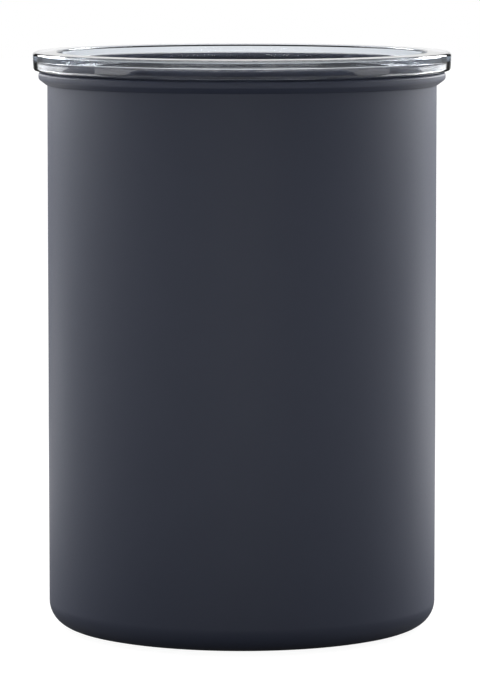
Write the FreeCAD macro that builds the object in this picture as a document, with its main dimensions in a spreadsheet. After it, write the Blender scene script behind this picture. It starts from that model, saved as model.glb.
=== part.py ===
# A steel coffee canister: a clear outer lid over its rolled rim and, inside, a sliding inner lid with a
# valve that the folding bail handle opens. Millimetres, +Z up, origin under the middle of the base.
# Every piece is drawn where it lies at rest: outer lid on, inner lid part way down, bail folded flat.
import FreeCAD
import Part
import Sketcher
import math
import os

# Driving dimensions: alias, number and what it measures. Angles are in degrees.
SIZES = [
    ("body_diameter", "119", "outside of the straight body"),
    ("sheet", "0.7", "thickness of the coated steel sheet"),
    ("shell_height", "173.6", "floor to the crest of the rolled rim"),
    ("base_corner", "7.6", "outside radius where the wall meets the base"),
    ("base_ring", "6", "width of the flat ring that the body stands on"),
    ("base_rise", "1.2", "how far the middle of the base is raised"),
    ("rim_reach", "2.7", "how far the rolled rim stands out from the body"),
    ("rim_side", "4.8", "crest of the rim down to where its lip turns in"),
    ("lip_bend", "1.2", "outside radius of the bend above the lip"),
    ("lip_slope", "37", "slope of the lip below level"),
    ("lip_gap", "0.2", "open slit between the lip and the body"),
    ("lid_wall", "1.5", "thickness of the clear lid's skirt and plug wall"),
    ("lid_roof", "2.6", "thickness of the clear lid over the rim"),
    ("lid_clearance", "0.3", "gap between the lid and the rim, beside it and above it"),
    ("plug_clearance", "0.7", "gap between the lid's plug wall and the bore"),
    ("skirt_drop", "6.1", "top of the lid down to the edge of its skirt"),
    ("pan_depth", "6.6", "top of the lid down to the floor of its pan"),
    ("pan_floor", "1.7", "thickness of the pan's floor"),
    ("pan_corner", "2", "inside radius where the pan's wall meets its floor"),
    ("lid_edge", "1.2", "radius of the lid's upper outer edge"),
    ("skirt_edge", "1.3", "radius of the skirt's lower outer edge"),
    ("pan_edge", "0.8", "radius of the lid's upper inner edge"),
    ("channel_corner", "0.6", "inside radius at the top of the channel over the rim"),
    ("headroom", "2", "gap between the raised bail and the outer lid"),
    ("dish_floor", "3", "thickness of the inner lid's floor"),
    ("dish_corner", "2.5", "inside radius of the dish"),
    ("dish_edge", "0.8", "radius of the dish's outer edges"),
    ("collar_height", "17", "height of the inner lid"),
    ("collar_wall", "2.5", "thickness of the collar that carries the seal"),
    ("flange_gap", "2.3", "gap between the inner lid's flange and the bore"),
    ("flange_reach", "3.5", "how far the flange stands out from the collar"),
    ("flange_height", "2.5", "thickness of the flange under the seal"),
    ("seal_height", "11.5", "height of the seal's body"),
    ("seal_setback", "0.5", "how far the seal's body lies inside the flange"),
    ("seal_clearance", "0.15", "gap between the seal's lips and the bore"),
    ("seal_lip_root", "1.8", "thickness of a lip where it leaves the seal"),
    ("seal_lip_tip", "0.8", "thickness of a lip at its edge"),
    ("seal_lip_rise", "1.4", "how far a lip slants upwards"),
    ("seal_lip_height", "1.1", "foot of the seal to the root of its lower lip"),
    ("seal_lip_spacing", "6", "lower lip to upper lip"),
    ("retainer_height", "2.5", "height of the ring over the seal"),
    ("retainer_edge", "0.8", "radius of that ring's upper outer edge"),
    ("seat_radius", "7", "inside of the raised valve seat"),
    ("seat_width", "1.5", "width of the raised valve seat"),
    ("seat_height", "1", "height of the raised valve seat"),
    ("vent_radius", "1.5", "radius of a vent hole"),
    ("vent_circle", "4.6", "radius of the ring of vent holes"),
    ("vent_count", "6", "vent holes in the ring"),
    ("disc_overlap", "1", "how far the valve disc reaches past its seat"),
    ("disc_side", "2", "height of the valve disc's straight side"),
    ("disc_bevel", "1.5", "bevel round the top of the valve disc"),
    ("disc_skin", "1", "silicone under the head of the stem"),
    ("head_radius", "4", "head of the stem, held in the valve disc"),
    ("head_height", "1.5", "thickness of that head"),
    ("neck_radius", "2", "neck of the stem above its head"),
    ("rod_flange_radius", "6", "flange of the stem on the valve disc"),
    ("rod_flange_height", "1.2", "thickness of that flange"),
    ("rod_radius", "2.2", "stem between its flange and the yoke"),
    ("thread_radius", "1.5", "threaded end of the stem"),
    ("valve_lift", "2", "how far the cams lift the valve"),
    ("wire_diameter", "3.6", "wire of the bail"),
    ("cam_wall", "0.9", "least wall of a cam round the wire"),
    ("cam_width", "3", "thickness of a cam"),
    ("cam_offset", "7.6", "middle of the valve to the near face of a cam"),
    ("cam_clearance", "0.9", "gap between a cam and the valve disc"),
    ("cam_gap", "0.1", "gap between a cam and the yoke"),
    ("pin_radius", "0.6", "cross pin through a cam and the wire"),
    ("pin_length", "6.6", "length of that pin"),
    ("wire_stub", "0.4", "how far the wire comes through a cam"),
    ("yoke_thickness", "2", "thickness of the yoke's arms"),
    ("yoke_half_width", "3.5", "half the width of the yoke's arms"),
    ("yoke_overhang", "0.8", "how far the yoke's arms reach past the cams"),
    ("hub_radius", "5", "hub of the yoke"),
    ("hub_drop", "2.5", "how far that hub reaches below the bail's axis"),
    ("hub_clearance", "0.05", "gap between the stem and the hub"),
    ("nut_flats", "5.5", "hexagon nut across its flats"),
    ("nut_height", "2.4", "height of the nut"),
    ("nut_sink", "0.2", "how far the nut lies below the top of the hub"),
    ("nut_clearance", "0.22", "gap between the nut's corners and its recess"),
    ("spring_length", "5.8", "length of the spring with the valve closed"),
    ("spring_wire", "0.7", "wire of the spring"),
    ("spring_radius", "4.2", "middle of the spring's wire from its axis"),
    ("spring_turns", "3", "turns of the spring"),
    ("spring_seat_gap", "0.1", "gap between the spring and each seat"),
    ("turret_radius", "17", "outside of the valve housing"),
    ("turret_wall", "2.2", "wall of the valve housing"),
    ("turret_fillet", "1.5", "fillet where the housing meets its flange"),
    ("foot_margin", "1.1", "flange of the valve housing outside the heads of its screws"),
    ("foot_height", "2.5", "thickness of that flange"),
    ("foot_edge", "0.8", "radius of that flange's upper edge"),
    ("boss_radius", "5.5", "pivot boss of the housing"),
    ("boss_reach", "1", "how far a pivot boss stands out from the housing"),
    ("slot_width", "3.5", "width of an air slot"),
    ("slot_height", "2.4", "height of an air slot"),
    ("slot_count", "8", "air slots round the housing"),
    ("cap_height", "2.3", "thickness of the housing's cap"),
    ("cap_edge", "1.5", "radius of the cap's upper edge"),
    ("cap_dish_radius", "11", "shallow dish in the top of the cap"),
    ("cap_dish_depth", "0.6", "depth of that dish"),
    ("plug_depth", "2.5", "how far the cap plugs into the housing"),
    ("plug_wall", "1.5", "wall of the cap's plug"),
    ("cap_clearance", "0.05", "gap between the cap's plug and the housing"),
    ("guide_radius", "3.3", "boss of the cap inside the spring"),
    ("guide_height", "1.5", "height of that boss"),
    ("bush_wall", "1.4", "wall of a pivot bush"),
    ("bush_clearance", "0.08", "gap between the wire and its bush"),
    ("bush_inset", "1", "how far a bush reaches into the housing"),
    ("bush_flange_radius", "4.8", "flange of a pivot bush"),
    ("bush_flange_height", "1", "thickness of that flange"),
    ("screw_head_gap", "0.2", "gap between the head of a screw and the housing's fillet"),
    ("screw_count", "4", "screws round the housing"),
    ("screw_radius", "1.25", "shank of a screw"),
    ("screw_grip", "2.2", "how far a screw reaches into the dish"),
    ("screw_tip_gap", "0.2", "gap under the tip of a screw"),
    ("screw_hole_gap", "0.1", "gap between a shank and its hole in the housing"),
    ("screw_head_radius", "2.1", "head of a screw"),
    ("screw_head_height", "1.4", "height of that head"),
    ("socket_flats", "2", "hexagon socket across its flats"),
    ("socket_depth", "0.8", "depth of that socket"),
    ("bail_half_width", "26", "middle of the bail to the middle of a leg"),
    ("bail_reach", "32", "pivot axis to the middle of the cross bar"),
    ("bail_foot_bend", "6", "bend radius where a leg meets its pivot end"),
    ("bail_top_bend", "12", "bend radius where a leg meets the cross bar"),
    ("rest_length", "8", "length of a bail rest"),
    ("rest_width", "4", "width of a bail rest"),
    ("rest_spread", "9", "middle of the bail to the middle of a rest"),
    ("rest_gap", "0.1", "gap between a rest and the bail"),
]

doc = FreeCAD.newDocument("coffee_canister")
sheet = doc.addObject("Spreadsheet::Sheet", "Sizes")


class Size:
    """A value that knows both its number and the expression that binds it to the sheet."""

    def __init__(self, number, text):
        self.number = number
        self.text = text

    def __add__(self, other):
        other = as_size(other)
        return Size(self.number + other.number, f"({self.text} + {other.text})")

    def __sub__(self, other):
        other = as_size(other)
        return Size(self.number - other.number, f"({self.text} - {other.text})")

    def __mul__(self, other):
        other = as_size(other)
        return Size(self.number * other.number, f"{self.text} * {other.text}")

    def __truediv__(self, other):
        other = as_size(other)
        return Size(self.number / other.number, f"{self.text} / {other.text}")

    def __neg__(self):
        return Size(-self.number, f"(0 - {self.text})")


def as_size(value):
    """A Size as it is, or a plain number as a Size."""
    if isinstance(value, Size):
        return value
    return Size(value, repr(value))


def sine(angle):
    """The sine of an angle in degrees."""
    return Size(math.sin(math.radians(angle.number)), f"sin({angle.text})")


def cosine(angle):
    """The cosine of an angle in degrees."""
    return Size(math.cos(math.radians(angle.number)), f"cos({angle.text})")


class Sheet:
    """The driving dimensions, each read by its alias."""


size = Sheet()
for row, (alias, number, meaning) in enumerate(SIZES, start=1):
    sheet.set(f"A{row}", meaning)
    sheet.set(f"B{row}", number)
    sheet.setAlias(f"B{row}", alias)
    setattr(size, alias, Size(float(number), f"Sizes.{alias}"))
doc.recompute()


# Derived sizes of the shell
body_radius = size.body_diameter / 2
bore_radius = body_radius - size.sheet
rim_radius = body_radius + size.rim_reach
curl_radius = (rim_radius - bore_radius) / 2
curl_middle = (rim_radius + bore_radius) / 2
curl_height = size.shell_height - curl_radius
lip_height = size.shell_height - size.rim_side

# Derived sizes of the outer lid
skirt_bore = rim_radius + size.lid_clearance
lid_radius = skirt_bore + size.lid_wall
channel_height = size.shell_height + size.lid_clearance
lid_top = channel_height + size.lid_roof
plug_radius = bore_radius - size.plug_clearance
pan_radius = plug_radius - size.lid_wall
pan_top = lid_top - size.pan_depth
pan_under = pan_top - size.pan_floor

# Derived sizes of the inner lid, radii first, then heights above its underside
lip_radius = bore_radius - size.seal_clearance
flange_radius = bore_radius - size.flange_gap
seal_radius = flange_radius - size.seal_setback
collar_radius = flange_radius - size.flange_reach
dish_radius = collar_radius - size.collar_wall
seal_top = size.flange_height + size.seal_height

# Derived sizes of the valve, as heights above the floor of the dish
wire_radius = size.wire_diameter / 2
disc_radius = size.seat_radius + size.seat_width + size.disc_overlap
disc_top = size.seat_height + size.disc_side + size.disc_bevel
head_bottom = size.seat_height + size.disc_skin
head_top = head_bottom + size.head_height
rod_flange_top = disc_top + size.rod_flange_height
cam_throw = size.valve_lift / math.sqrt(2)
cam_shift = size.valve_lift / 2
cam_radius = cam_throw + wire_radius + size.cam_wall
axis_height = disc_top + size.cam_clearance + cam_radius + cam_shift
arm_bottom = axis_height + cam_radius - cam_shift + size.cam_gap
yoke_top = arm_bottom + size.yoke_thickness
hub_bottom = axis_height - size.hub_drop
nut_bottom = yoke_top - size.nut_sink - size.nut_height
stem_top = nut_bottom + size.nut_height
nut_corner = size.nut_flats / math.sqrt(3)
turret_bore = size.turret_radius - size.turret_wall
turret_top = yoke_top + size.spring_length
screw_circle = size.turret_radius + size.turret_fillet + size.screw_head_gap + size.screw_head_radius
foot_radius = screw_circle + size.screw_head_radius + size.foot_margin
boss_face = size.turret_radius + size.boss_reach
bush_radius = wire_radius + size.bush_clearance + size.bush_wall
bush_end = turret_bore - size.bush_inset
wire_end = size.cam_offset - size.wire_stub
cam_middle = size.cam_offset + size.cam_width / 2

# Where the inner lid rests: its raised bail just clears the outer lid
bail_top = axis_height + size.bail_reach + wire_radius
dish_height = pan_under - size.headroom - bail_top
plunger_height = dish_height - size.dish_floor

LEFT = 1
RIGHT = -1


def bind(thing, field, value):
    """Set one property of a document object and bind it to the sheet."""
    value = as_size(value)
    setattr(thing, field, value.number)
    thing.setExpression(field, value.text)


def place(thing, across=0, along=0, up=0):
    """Bind the place of a document object to the sheet, keeping its turn."""
    for field, value in (("x", across), ("y", along), ("z", up)):
        thing.setExpression(f"Placement.Base.{field}", as_size(value).text)


def origin_plane(body, role):
    """One of a body's own origin planes, such as XY_Plane."""
    return [plane for plane in body.Origin.OriginFeatures if plane.Role == role][0]


def new_sketch(body, role, name, offset=None):
    """An empty sketch on an origin plane of its body, moved along the plane's normal by an offset."""
    sketch = body.newObject("Sketcher::SketchObject", name)
    sketch.AttachmentSupport = [(origin_plane(body, role), "")]
    sketch.MapMode = "FlatFace"
    if offset is not None:
        sketch.setExpression("AttachmentOffset.Base.z", as_size(offset).text)
    return sketch


def pin_point(sketch, geometry, end, across, up):
    """Bind one end of a sketched line or arc to the sheet, measured from the sketch's origin."""
    for kind, axis, value in (("DistanceX", -2, as_size(across)), ("DistanceY", -1, as_size(up))):
        if abs(value.number) < 1e-9:
            sketch.addConstraint(Sketcher.Constraint("PointOnObject", geometry, end, axis))
            continue
        index = sketch.addConstraint(Sketcher.Constraint(kind, -1, 1, geometry, end, value.number))
        sketch.setExpression(f"Constraints[{index}]", value.text)


def draw_stretch(sketch, here, there):
    """Draw the line or arc from one corner to the next and return its number and its two ends.

    A corner is (across, up), or (across, up, radius, LEFT or RIGHT) where an arc that turns that way
    leads to the next corner.
    """
    start = FreeCAD.Vector(as_size(here[0]).number, as_size(here[1]).number, 0)
    finish = FreeCAD.Vector(as_size(there[0]).number, as_size(there[1]).number, 0)
    if len(here) == 2:
        return sketch.addGeometry(Part.LineSegment(start, finish)), 1, 2
    radius, side = here[2], here[3]
    chord = finish - start
    normal = FreeCAD.Vector(-chord.y, chord.x, 0).normalize()
    rise = math.sqrt(max(radius.number ** 2 - chord.Length ** 2 / 4, 0))
    centre = (start + finish) / 2 + normal * (side * rise)
    circle = Part.Circle(centre, FreeCAD.Vector(0, 0, 1), radius.number)
    first = math.atan2(start.y - centre.y, start.x - centre.x)
    last = math.atan2(finish.y - centre.y, finish.x - centre.x)
    if side == LEFT:
        arc, begin, end = Part.ArcOfCircle(circle, first, last), 1, 2
    else:
        arc, begin, end = Part.ArcOfCircle(circle, last, first), 2, 1
    number = sketch.addGeometry(arc)
    index = sketch.addConstraint(Sketcher.Constraint("Radius", number, radius.number))
    sketch.setExpression(f"Constraints[{index}]", radius.text)
    return number, begin, end


def draw_outline(sketch, corners, closed=True):
    """Draw lines and arcs through the corners and bind every corner to the sheet."""
    following = corners[1:] + corners[:1] if closed else corners[1:]
    stretches = [draw_stretch(sketch, here, there) for here, there in zip(corners, following)]
    joints = list(zip(stretches, stretches[1:]))
    if closed:
        joints.append((stretches[-1], stretches[0]))
    for (before, _, end), (after, begin, _) in joints:
        sketch.addConstraint(Sketcher.Constraint("Coincident", before, end, after, begin))
    for (number, begin, _), corner in zip(stretches, corners):
        pin_point(sketch, number, begin, corner[0], corner[1])
    if not closed:
        number, _, end = stretches[-1]
        pin_point(sketch, number, end, corners[-1][0], corners[-1][1])


def draw_circle(sketch, across, up, radius):
    """Draw a circle whose middle and radius are bound to the sheet."""
    across, up, radius = as_size(across), as_size(up), as_size(radius)
    centre = FreeCAD.Vector(across.number, up.number, 0)
    number = sketch.addGeometry(Part.Circle(centre, FreeCAD.Vector(0, 0, 1), radius.number))
    index = sketch.addConstraint(Sketcher.Constraint("Radius", number, radius.number))
    sketch.setExpression(f"Constraints[{index}]", radius.text)
    pin_point(sketch, number, 3, across, up)


def new_body(label):
    """An empty body with its label."""
    body = doc.addObject("PartDesign::Body", label)
    body.Label = label
    return body


def turn(body, corners, name="turned"):
    """Revolve a closed outline, given as radius and height, about the body's own Z axis."""
    sketch = new_sketch(body, "XZ_Plane", f"{body.Name}_{name}_outline")
    draw_outline(sketch, corners)
    feature = body.newObject("PartDesign::Revolution", f"{body.Name}_{name}")
    feature.Profile = sketch
    feature.ReferenceAxis = (sketch, ["V_Axis"])
    feature.Angle = 360
    doc.recompute()
    return feature


def pad(body, sketch, length, both_ways=False):
    """Raise a sketch along its normal, or evenly both ways."""
    feature = body.newObject("PartDesign::Pad", f"{sketch.Name}_pad")
    feature.Profile = sketch
    feature.SideType = "Symmetric" if both_ways else "One side"
    bind(feature, "Length", length)
    doc.recompute()
    return feature


def pocket(body, sketch, length, both_ways=False, upwards=False):
    """Cut a sketch into the body, and stop the build if that takes nothing away."""
    before = body.Shape.Volume
    feature = body.newObject("PartDesign::Pocket", f"{sketch.Name}_cut")
    feature.Profile = sketch
    feature.SideType = "Symmetric" if both_ways else "One side"
    feature.Reversed = upwards
    bind(feature, "Length", length)
    doc.recompute()
    if body.Shape.Volume > before - 1e-6:
        raise RuntimeError(f"{feature.Name} cuts nothing")
    return feature


def repeat_round(body, feature, count):
    """Repeat a feature evenly round the body's Z axis."""
    pattern = body.newObject("PartDesign::PolarPattern", f"{feature.Name}_ring")
    pattern.Originals = [feature]
    pattern.Axis = (origin_plane(body, "Z_Axis"), [""])
    pattern.Angle = 360
    pattern.Occurrences = int(count.number)
    pattern.setExpression("Occurrences", count.text)
    body.Tip = pattern
    doc.recompute()
    return pattern


def cylinder(name, radius, height, axis="z"):
    """A round bar along Z or X whose radius and height are bound to the sheet."""
    bar = doc.addObject("Part::Cylinder", name)
    bind(bar, "Radius", radius)
    bind(bar, "Height", height)
    if axis == "x":
        bar.Placement.Rotation = FreeCAD.Rotation(FreeCAD.Vector(0, 1, 0), 90)
    return bar


def hexagon(name, flats, height):
    """A hexagonal bar along Z, given across its flats."""
    bar = doc.addObject("Part::Prism", name)
    bar.Polygon = 6
    bind(bar, "Circumradius", flats / math.sqrt(3))
    bind(bar, "Height", height)
    return bar


def cut(label, base, tool):
    """One solid less another."""
    result = doc.addObject("Part::Cut", label)
    result.Label = label
    result.Base = base
    result.Tool = tool
    return result


def fuse(label, first, second):
    """Two solids made one."""
    result = doc.addObject("Part::Fuse", label)
    result.Label = label
    result.Base = first
    result.Tool = second
    return result


def group(label, members):
    """Separate solids under one label."""
    result = doc.addObject("Part::Compound", label)
    result.Label = label
    result.Links = members
    return result


def make_shell():
    """The drawn body: raised base, straight wall and a rim rolled outwards and down."""
    inner_corner = size.base_corner - size.sheet
    ring_outer = body_radius - size.base_corner
    ring_inner = ring_outer - size.base_ring
    step_shift = size.sheet * (math.sqrt(2) - 1)
    inner_curl = curl_radius - size.sheet
    inner_bend = size.lip_bend - size.sheet
    bend_middle = rim_radius - size.lip_bend
    run, fall = cosine(size.lip_slope), sine(size.lip_slope)
    lip_end = body_radius + size.lip_gap
    outer_bend_end = (bend_middle + size.lip_bend * fall, lip_height - size.lip_bend * run)
    inner_bend_end = (bend_middle + inner_bend * fall, lip_height - inner_bend * run)
    outer_lip_end = outer_bend_end[1] - (outer_bend_end[0] - lip_end) * fall / run
    inner_lip_end = inner_bend_end[1] - (inner_bend_end[0] - lip_end) * fall / run
    body = new_body("canister_shell")
    turn(body, [
        (0, size.base_rise),
        (ring_inner - size.base_rise, size.base_rise),
        (ring_inner, 0),
        (ring_outer, 0, size.base_corner, LEFT),
        (body_radius, size.base_corner),
        (body_radius, curl_height, inner_curl, RIGHT),
        (curl_middle, curl_height + inner_curl, inner_curl, RIGHT),
        (rim_radius - size.sheet, curl_height),
        (rim_radius - size.sheet, lip_height, inner_bend, RIGHT),
        (inner_bend_end[0], inner_bend_end[1]),
        (lip_end, inner_lip_end),
        (lip_end, outer_lip_end),
        (outer_bend_end[0], outer_bend_end[1], size.lip_bend, LEFT),
        (rim_radius, lip_height),
        (rim_radius, curl_height, curl_radius, LEFT),
        (curl_middle, size.shell_height, curl_radius, LEFT),
        (bore_radius, curl_height),
        (bore_radius, size.base_corner, inner_corner, RIGHT),
        (ring_outer, size.sheet),
        (ring_inner + step_shift, size.sheet),
        (ring_inner - size.base_rise + step_shift, size.base_rise + size.sheet),
        (0, size.base_rise + size.sheet),
    ])
    return body


def make_outer_lid():
    """The clear lid: a channel that straddles the rim, a plug wall in the bore and a sunken pan."""
    plug_corner = size.pan_corner + size.lid_wall / 3
    corner = size.channel_corner
    skirt_bottom = lid_top - size.skirt_drop
    body = new_body("outer_lid")
    turn(body, [
        (0, pan_under),
        (plug_radius - plug_corner, pan_under, plug_corner, LEFT),
        (plug_radius, pan_under + plug_corner),
        (plug_radius, channel_height - corner, corner, RIGHT),
        (plug_radius + corner, channel_height),
        (skirt_bore - corner, channel_height, corner, RIGHT),
        (skirt_bore, channel_height - corner),
        (skirt_bore, skirt_bottom),
        (lid_radius - size.skirt_edge, skirt_bottom, size.skirt_edge, LEFT),
        (lid_radius, skirt_bottom + size.skirt_edge),
        (lid_radius, lid_top - size.lid_edge, size.lid_edge, LEFT),
        (lid_radius - size.lid_edge, lid_top),
        (pan_radius + size.pan_edge, lid_top, size.pan_edge, LEFT),
        (pan_radius, lid_top - size.pan_edge),
        (pan_radius, pan_top + size.pan_corner, size.pan_corner, RIGHT),
        (pan_radius - size.pan_corner, pan_top),
        (0, pan_top),
    ])
    return body


def make_plunger_plate():
    """The inner lid: a dish with a flange, a collar, a valve seat over vent holes and two bail rests."""
    edge = size.dish_edge
    seat_outer = size.seat_radius + size.seat_width
    seat_top = size.dish_floor + size.seat_height
    body = new_body("plunger_plate")
    turn(body, [
        (0, 0),
        (flange_radius - edge, 0, edge, LEFT),
        (flange_radius, edge),
        (flange_radius, size.flange_height),
        (collar_radius, size.flange_height),
        (collar_radius, size.collar_height - edge, edge, LEFT),
        (collar_radius - edge, size.collar_height),
        (dish_radius + edge, size.collar_height, edge, LEFT),
        (dish_radius, size.collar_height - edge),
        (dish_radius, size.dish_floor + size.dish_corner, size.dish_corner, RIGHT),
        (dish_radius - size.dish_corner, size.dish_floor),
        (seat_outer, size.dish_floor),
        (seat_outer, seat_top),
        (size.seat_radius, seat_top),
        (size.seat_radius, size.dish_floor),
        (0, size.dish_floor),
    ])
    rests = new_sketch(body, "XY_Plane", "bail_rests", size.dish_floor)
    round_end = size.rest_width / 2
    half_run = size.rest_length / 2 - round_end
    for middle in (-size.rest_spread, size.rest_spread):
        draw_outline(rests, [
            (middle - half_run, size.bail_reach - round_end),
            (middle + half_run, size.bail_reach - round_end, round_end, LEFT),
            (middle + half_run + round_end, size.bail_reach, round_end, LEFT),
            (middle + half_run, size.bail_reach + round_end),
            (middle - half_run, size.bail_reach + round_end, round_end, LEFT),
            (middle - half_run - round_end, size.bail_reach, round_end, LEFT),
        ])
    pad(body, rests, axis_height - wire_radius - size.rest_gap)
    middle_vent = new_sketch(body, "XY_Plane", "middle_vent", size.dish_floor)
    draw_circle(middle_vent, 0, 0, size.vent_radius)
    pocket(body, middle_vent, size.dish_floor)
    vent = new_sketch(body, "XY_Plane", "ring_vent", size.dish_floor)
    draw_circle(vent, size.vent_circle, 0, size.vent_radius)
    repeat_round(body, pocket(body, vent, size.dish_floor), size.vent_count)
    pilot = new_sketch(body, "XY_Plane", "screw_pilot", size.dish_floor)
    pilot_place = screw_circle / math.sqrt(2)
    draw_circle(pilot, pilot_place, pilot_place, size.screw_radius)
    pilot_depth = size.screw_grip + size.screw_tip_gap
    repeat_round(body, pocket(body, pilot, pilot_depth), size.screw_count)
    place(body, up=plunger_height)
    return body


def make_wiper_seal():
    """The silicone ring round the collar, with two lips that slant up to the bore."""
    corners = [(collar_radius, size.flange_height), (seal_radius, size.flange_height)]
    for lift in (as_size(0), size.seal_lip_spacing):
        root = size.flange_height + size.seal_lip_height + lift
        corners += [
            (seal_radius, root),
            (lip_radius, root + size.seal_lip_rise),
            (lip_radius, root + size.seal_lip_rise + size.seal_lip_tip),
            (seal_radius, root + size.seal_lip_root),
        ]
    corners += [(seal_radius, seal_top), (collar_radius, seal_top)]
    body = new_body("wiper_seal")
    turn(body, corners)
    place(body, up=plunger_height)
    return body


def make_seal_retainer():
    """The ring on the collar that keeps the seal down on the flange."""
    top = seal_top + size.retainer_height
    edge = size.retainer_edge
    body = new_body("seal_retainer")
    turn(body, [
        (collar_radius, seal_top),
        (flange_radius, seal_top),
        (flange_radius, top - edge, edge, LEFT),
        (flange_radius - edge, top),
        (collar_radius, top),
    ])
    place(body, up=plunger_height)
    return body


def make_valve_housing():
    """The turret over the valve: flange, wall, two pivot bosses, air slots and screw holes."""
    foot, fillet, edge = size.foot_height, size.turret_fillet, size.foot_edge
    body = new_body("valve_housing")
    turn(body, [
        (0, 0),
        (foot_radius, 0),
        (foot_radius, foot - edge, edge, LEFT),
        (foot_radius - edge, foot),
        (size.turret_radius + fillet, foot, fillet, RIGHT),
        (size.turret_radius, foot + fillet),
        (size.turret_radius, turret_top),
        (0, turret_top),
    ])
    bosses = new_sketch(body, "YZ_Plane", "pivot_bosses")
    draw_circle(bosses, 0, axis_height, size.boss_radius)
    pad(body, bosses, boss_face * 2, both_ways=True)
    bore = new_sketch(body, "XY_Plane", "turret_bore", turret_top)
    draw_circle(bore, 0, 0, turret_bore)
    pocket(body, bore, turret_top)
    pivots = new_sketch(body, "YZ_Plane", "pivot_bore")
    draw_circle(pivots, 0, axis_height, bush_radius)
    pocket(body, pivots, boss_face * 2, both_ways=True)
    slot = new_sketch(body, "XZ_Plane", "air_slot")
    half = size.slot_width / 2
    draw_outline(slot, [
        (-half, foot),
        (half, foot),
        (half, foot + size.slot_height),
        (-half, foot + size.slot_height),
    ])
    repeat_round(body, pocket(body, slot, size.turret_radius + fillet), size.slot_count)
    hole = new_sketch(body, "XY_Plane", "screw_hole", foot)
    hole_place = screw_circle / math.sqrt(2)
    draw_circle(hole, hole_place, hole_place, size.screw_radius + size.screw_hole_gap)
    repeat_round(body, pocket(body, hole, foot), size.screw_count)
    place(body, up=dish_height)
    return body


def make_housing_screws():
    """Pan-head screws that hold the housing down on the dish, each with a hexagon socket."""
    screws = []
    count = int(size.screw_count.number)
    for index in range(count):
        angle = 360 / count * (index + 0.5)
        across = screw_circle * math.cos(math.radians(angle))
        along = screw_circle * math.sin(math.radians(angle))
        seat = dish_height + size.foot_height
        shank = cylinder(f"screw_shank_{index}", size.screw_radius, size.screw_grip + size.foot_height)
        place(shank, across, along, dish_height - size.screw_grip)
        head = cylinder(f"screw_head_{index}", size.screw_head_radius, size.screw_head_height)
        place(head, across, along, seat)
        socket = hexagon(f"screw_socket_{index}", size.socket_flats, size.socket_depth)
        place(socket, across, along, seat + size.screw_head_height - size.socket_depth)
        screws.append(cut(f"screw_{index}", fuse(f"screw_blank_{index}", shank, head), socket))
    return group("housing_screws", screws)


def make_housing_cap():
    """The cap that plugs the top of the housing and guides the spring."""
    top = turret_top + size.cap_height
    dish_bottom = top - size.cap_dish_depth
    plug_outer = turret_bore - size.cap_clearance
    plug_inner = plug_outer - size.plug_wall
    body = new_body("housing_cap")
    turn(body, [
        (0, turret_top - size.guide_height),
        (size.guide_radius, turret_top - size.guide_height),
        (size.guide_radius, turret_top),
        (plug_inner, turret_top),
        (plug_inner, turret_top - size.plug_depth),
        (plug_outer, turret_top - size.plug_depth),
        (plug_outer, turret_top),
        (size.turret_radius, turret_top),
        (size.turret_radius, top - size.cap_edge, size.cap_edge, LEFT),
        (size.turret_radius - size.cap_edge, top),
        (size.cap_dish_radius + size.cap_dish_depth, top),
        (size.cap_dish_radius, dish_bottom),
        (0, dish_bottom),
    ])
    place(body, up=dish_height)
    return body


def make_valve_disc():
    """The silicone poppet: closed underneath, with a pocket for the head of the stem."""
    side_top = size.seat_height + size.disc_side
    body = new_body("valve_disc")
    turn(body, [
        (0, size.seat_height),
        (disc_radius, size.seat_height),
        (disc_radius, side_top),
        (disc_radius - size.disc_bevel, disc_top),
        (size.neck_radius, disc_top),
        (size.neck_radius, head_top),
        (size.head_radius, head_top),
        (size.head_radius, head_bottom),
        (0, head_bottom),
    ])
    place(body, up=dish_height)
    return body


def make_valve_stem():
    """The stem: head and neck in the poppet, flange on it, rod up to the yoke and a threaded end."""
    body = new_body("valve_stem")
    turn(body, [
        (0, head_bottom),
        (size.head_radius, head_bottom),
        (size.head_radius, head_top),
        (size.neck_radius, head_top),
        (size.neck_radius, disc_top),
        (size.rod_flange_radius, disc_top),
        (size.rod_flange_radius, rod_flange_top),
        (size.rod_radius, rod_flange_top),
        (size.rod_radius, hub_bottom),
        (size.thread_radius, hub_bottom),
        (size.thread_radius, stem_top),
        (0, stem_top),
    ])
    place(body, up=dish_height)
    return body


def make_valve_yoke():
    """The cross bar on the stem: a hub with a recess for the nut and an arm over each cam."""
    arm_reach = size.cam_offset + size.cam_width + size.yoke_overhang
    half = size.yoke_half_width
    body = new_body("valve_yoke")
    hub = new_sketch(body, "XY_Plane", "yoke_hub", hub_bottom)
    draw_circle(hub, 0, 0, size.hub_radius)
    pad(body, hub, yoke_top - hub_bottom)
    arms = new_sketch(body, "XY_Plane", "yoke_arms", arm_bottom)
    draw_outline(arms, [(-arm_reach, -half), (arm_reach, -half), (arm_reach, half), (-arm_reach, half)])
    pad(body, arms, size.yoke_thickness)
    bore = new_sketch(body, "XY_Plane", "yoke_bore", yoke_top)
    draw_circle(bore, 0, 0, size.thread_radius + size.hub_clearance)
    pocket(body, bore, yoke_top - hub_bottom)
    recess = new_sketch(body, "XY_Plane", "nut_recess", yoke_top)
    draw_circle(recess, 0, 0, nut_corner + size.nut_clearance)
    pocket(body, recess, yoke_top - nut_bottom)
    place(body, up=dish_height)
    return body


def make_stem_nut():
    """The hexagon nut that holds the yoke down on the shoulder of the stem."""
    blank = hexagon("nut_blank", size.nut_flats, size.nut_height)
    place(blank, up=dish_height + nut_bottom)
    thread = cylinder("nut_thread", size.thread_radius, size.nut_height)
    place(thread, up=dish_height + nut_bottom)
    return cut("stem_nut", blank, thread)


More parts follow.
